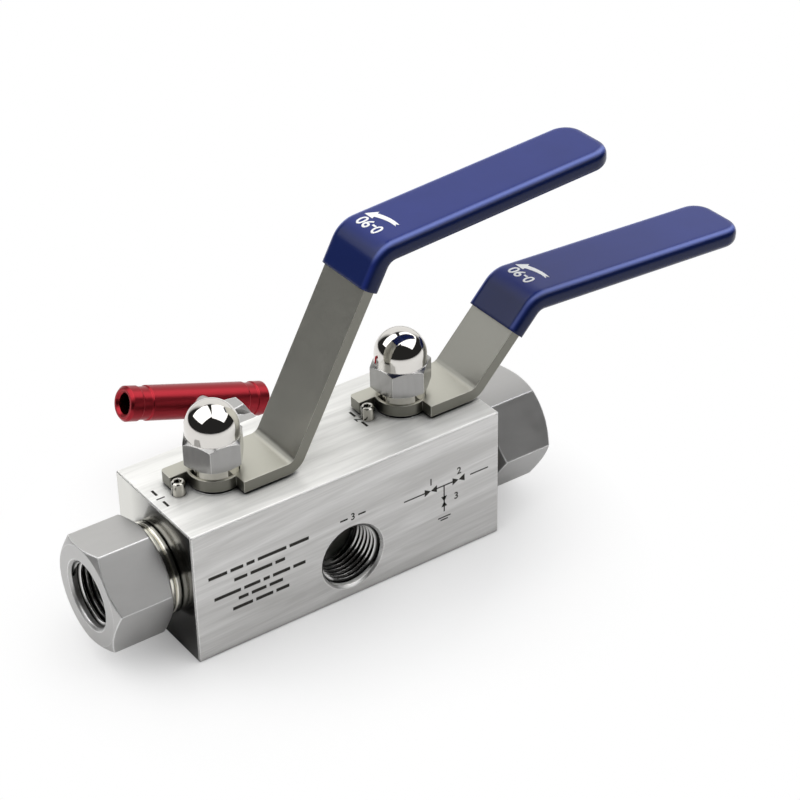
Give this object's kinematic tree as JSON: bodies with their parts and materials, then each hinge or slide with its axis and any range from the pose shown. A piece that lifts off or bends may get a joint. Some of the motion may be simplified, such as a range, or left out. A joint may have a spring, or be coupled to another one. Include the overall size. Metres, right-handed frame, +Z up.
{
  "type": "instrument valve manifold",
  "caption": "Block manifold with lever ball valves in line, female threaded end connectors, a threaded vent port in front and a T bar bleed needle valve behind.",
  "frame": {"origin": "centre of the block's underside", "axes": "+X along the flow from inlet to outlet, +Y to the back where the bleed valve is, +Z up along the lever stems"},
  "size_m": [0.2391, 0.0975, 0.1169],
  "materials": {
    "brushed_block": "brushed along the bar",
    "machined_steel": "fine turned and milled",
    "lever_steel": "matt rolled strip",
    "polished_steel": "mirror polished",
    "dark_steel": "oiled spring steel",
    "blue_vinyl": "smooth dipped vinyl",
    "red_anodised": "satin anodised",
    "seat_polymer": "turned",
    "white_packing": "pressed",
    "black_rubber": "moulded"
  },
  "bodies": {
    "manifold_body": {"bleed_bonnet": "machined_steel", "bleed_follower": "machined_steel", "bleed_gasket": "dark_steel", "bleed_lock_nut": "machined_steel", "bleed_packing": "white_packing", "bleed_packing_nut": "machined_steel", "inlet_connector": "machined_steel", "inlet_gland_screw": "machined_steel", "inlet_inner_seat": "seat_polymer", "inlet_o_ring": "black_rubber", "inlet_outer_seat": "seat_polymer", "inlet_seal_ring": "machined_steel", "inlet_stem_packing": "white_packing", "inlet_stop_pin": "dark_steel", "inlet_thrust_washer": "seat_polymer", "outlet_connector": "machined_steel", "outlet_gland_screw": "machined_steel", "outlet_inner_seat": "seat_polymer", "outlet_o_ring": "black_rubber", "outlet_outer_seat": "seat_polymer", "outlet_seal_ring": "machined_steel", "outlet_stem_packing": "white_packing", "outlet_stop_pin": "dark_steel", "outlet_thrust_washer": "seat_polymer", "valve_block": "brushed_block"},
    "inlet_lever": {"inlet_lever_blade": "lever_steel", "inlet_grip": "blue_vinyl", "inlet_lock_washer": "dark_steel", "inlet_dome_nut": "polished_steel", "inlet_stem": "machined_steel", "inlet_ball": "polished_steel"},
    "outlet_lever": {"outlet_lever_blade": "lever_steel", "outlet_grip": "blue_vinyl", "outlet_lock_washer": "dark_steel", "outlet_dome_nut": "polished_steel", "outlet_stem": "machined_steel", "outlet_ball": "polished_steel"},
    "needle_tip": {"bleed_needle": "machined_steel"},
    "bleed_handle": {"bleed_stem": "machined_steel", "bleed_bar": "red_anodised", "bleed_set_screw": "dark_steel"}
  },
  "joints": [
    {"name": "inlet_turn", "type": "hinge", "parent": "manifold_body", "child": "inlet_lever", "pos_m": [-0.0334, 0, 0.0459], "axis": [0, 0, 1], "range_deg": [-90, 0]},
    {"name": "outlet_turn", "type": "hinge", "parent": "manifold_body", "child": "outlet_lever", "pos_m": [0.0334, 0, 0.0459], "axis": [0, 0, 1], "range_deg": [-90, 0]},
    {"name": "needle_slide", "type": "slide", "parent": "manifold_body", "child": "needle_tip", "axis": [0, 1, 0], "range_m": [0, 0.00225]},
    {"name": "bleed_turn", "type": "hinge", "parent": "needle_tip", "child": "bleed_handle", "pos_m": [0, 0.07035, 0.0226], "axis": [0, 1, 0], "range_deg": [0, 540]}
  ],
  "couplings": [
    {"joint": "bleed_turn", "follows": "needle_slide", "rad_per_m": 4188.8}
  ]
}
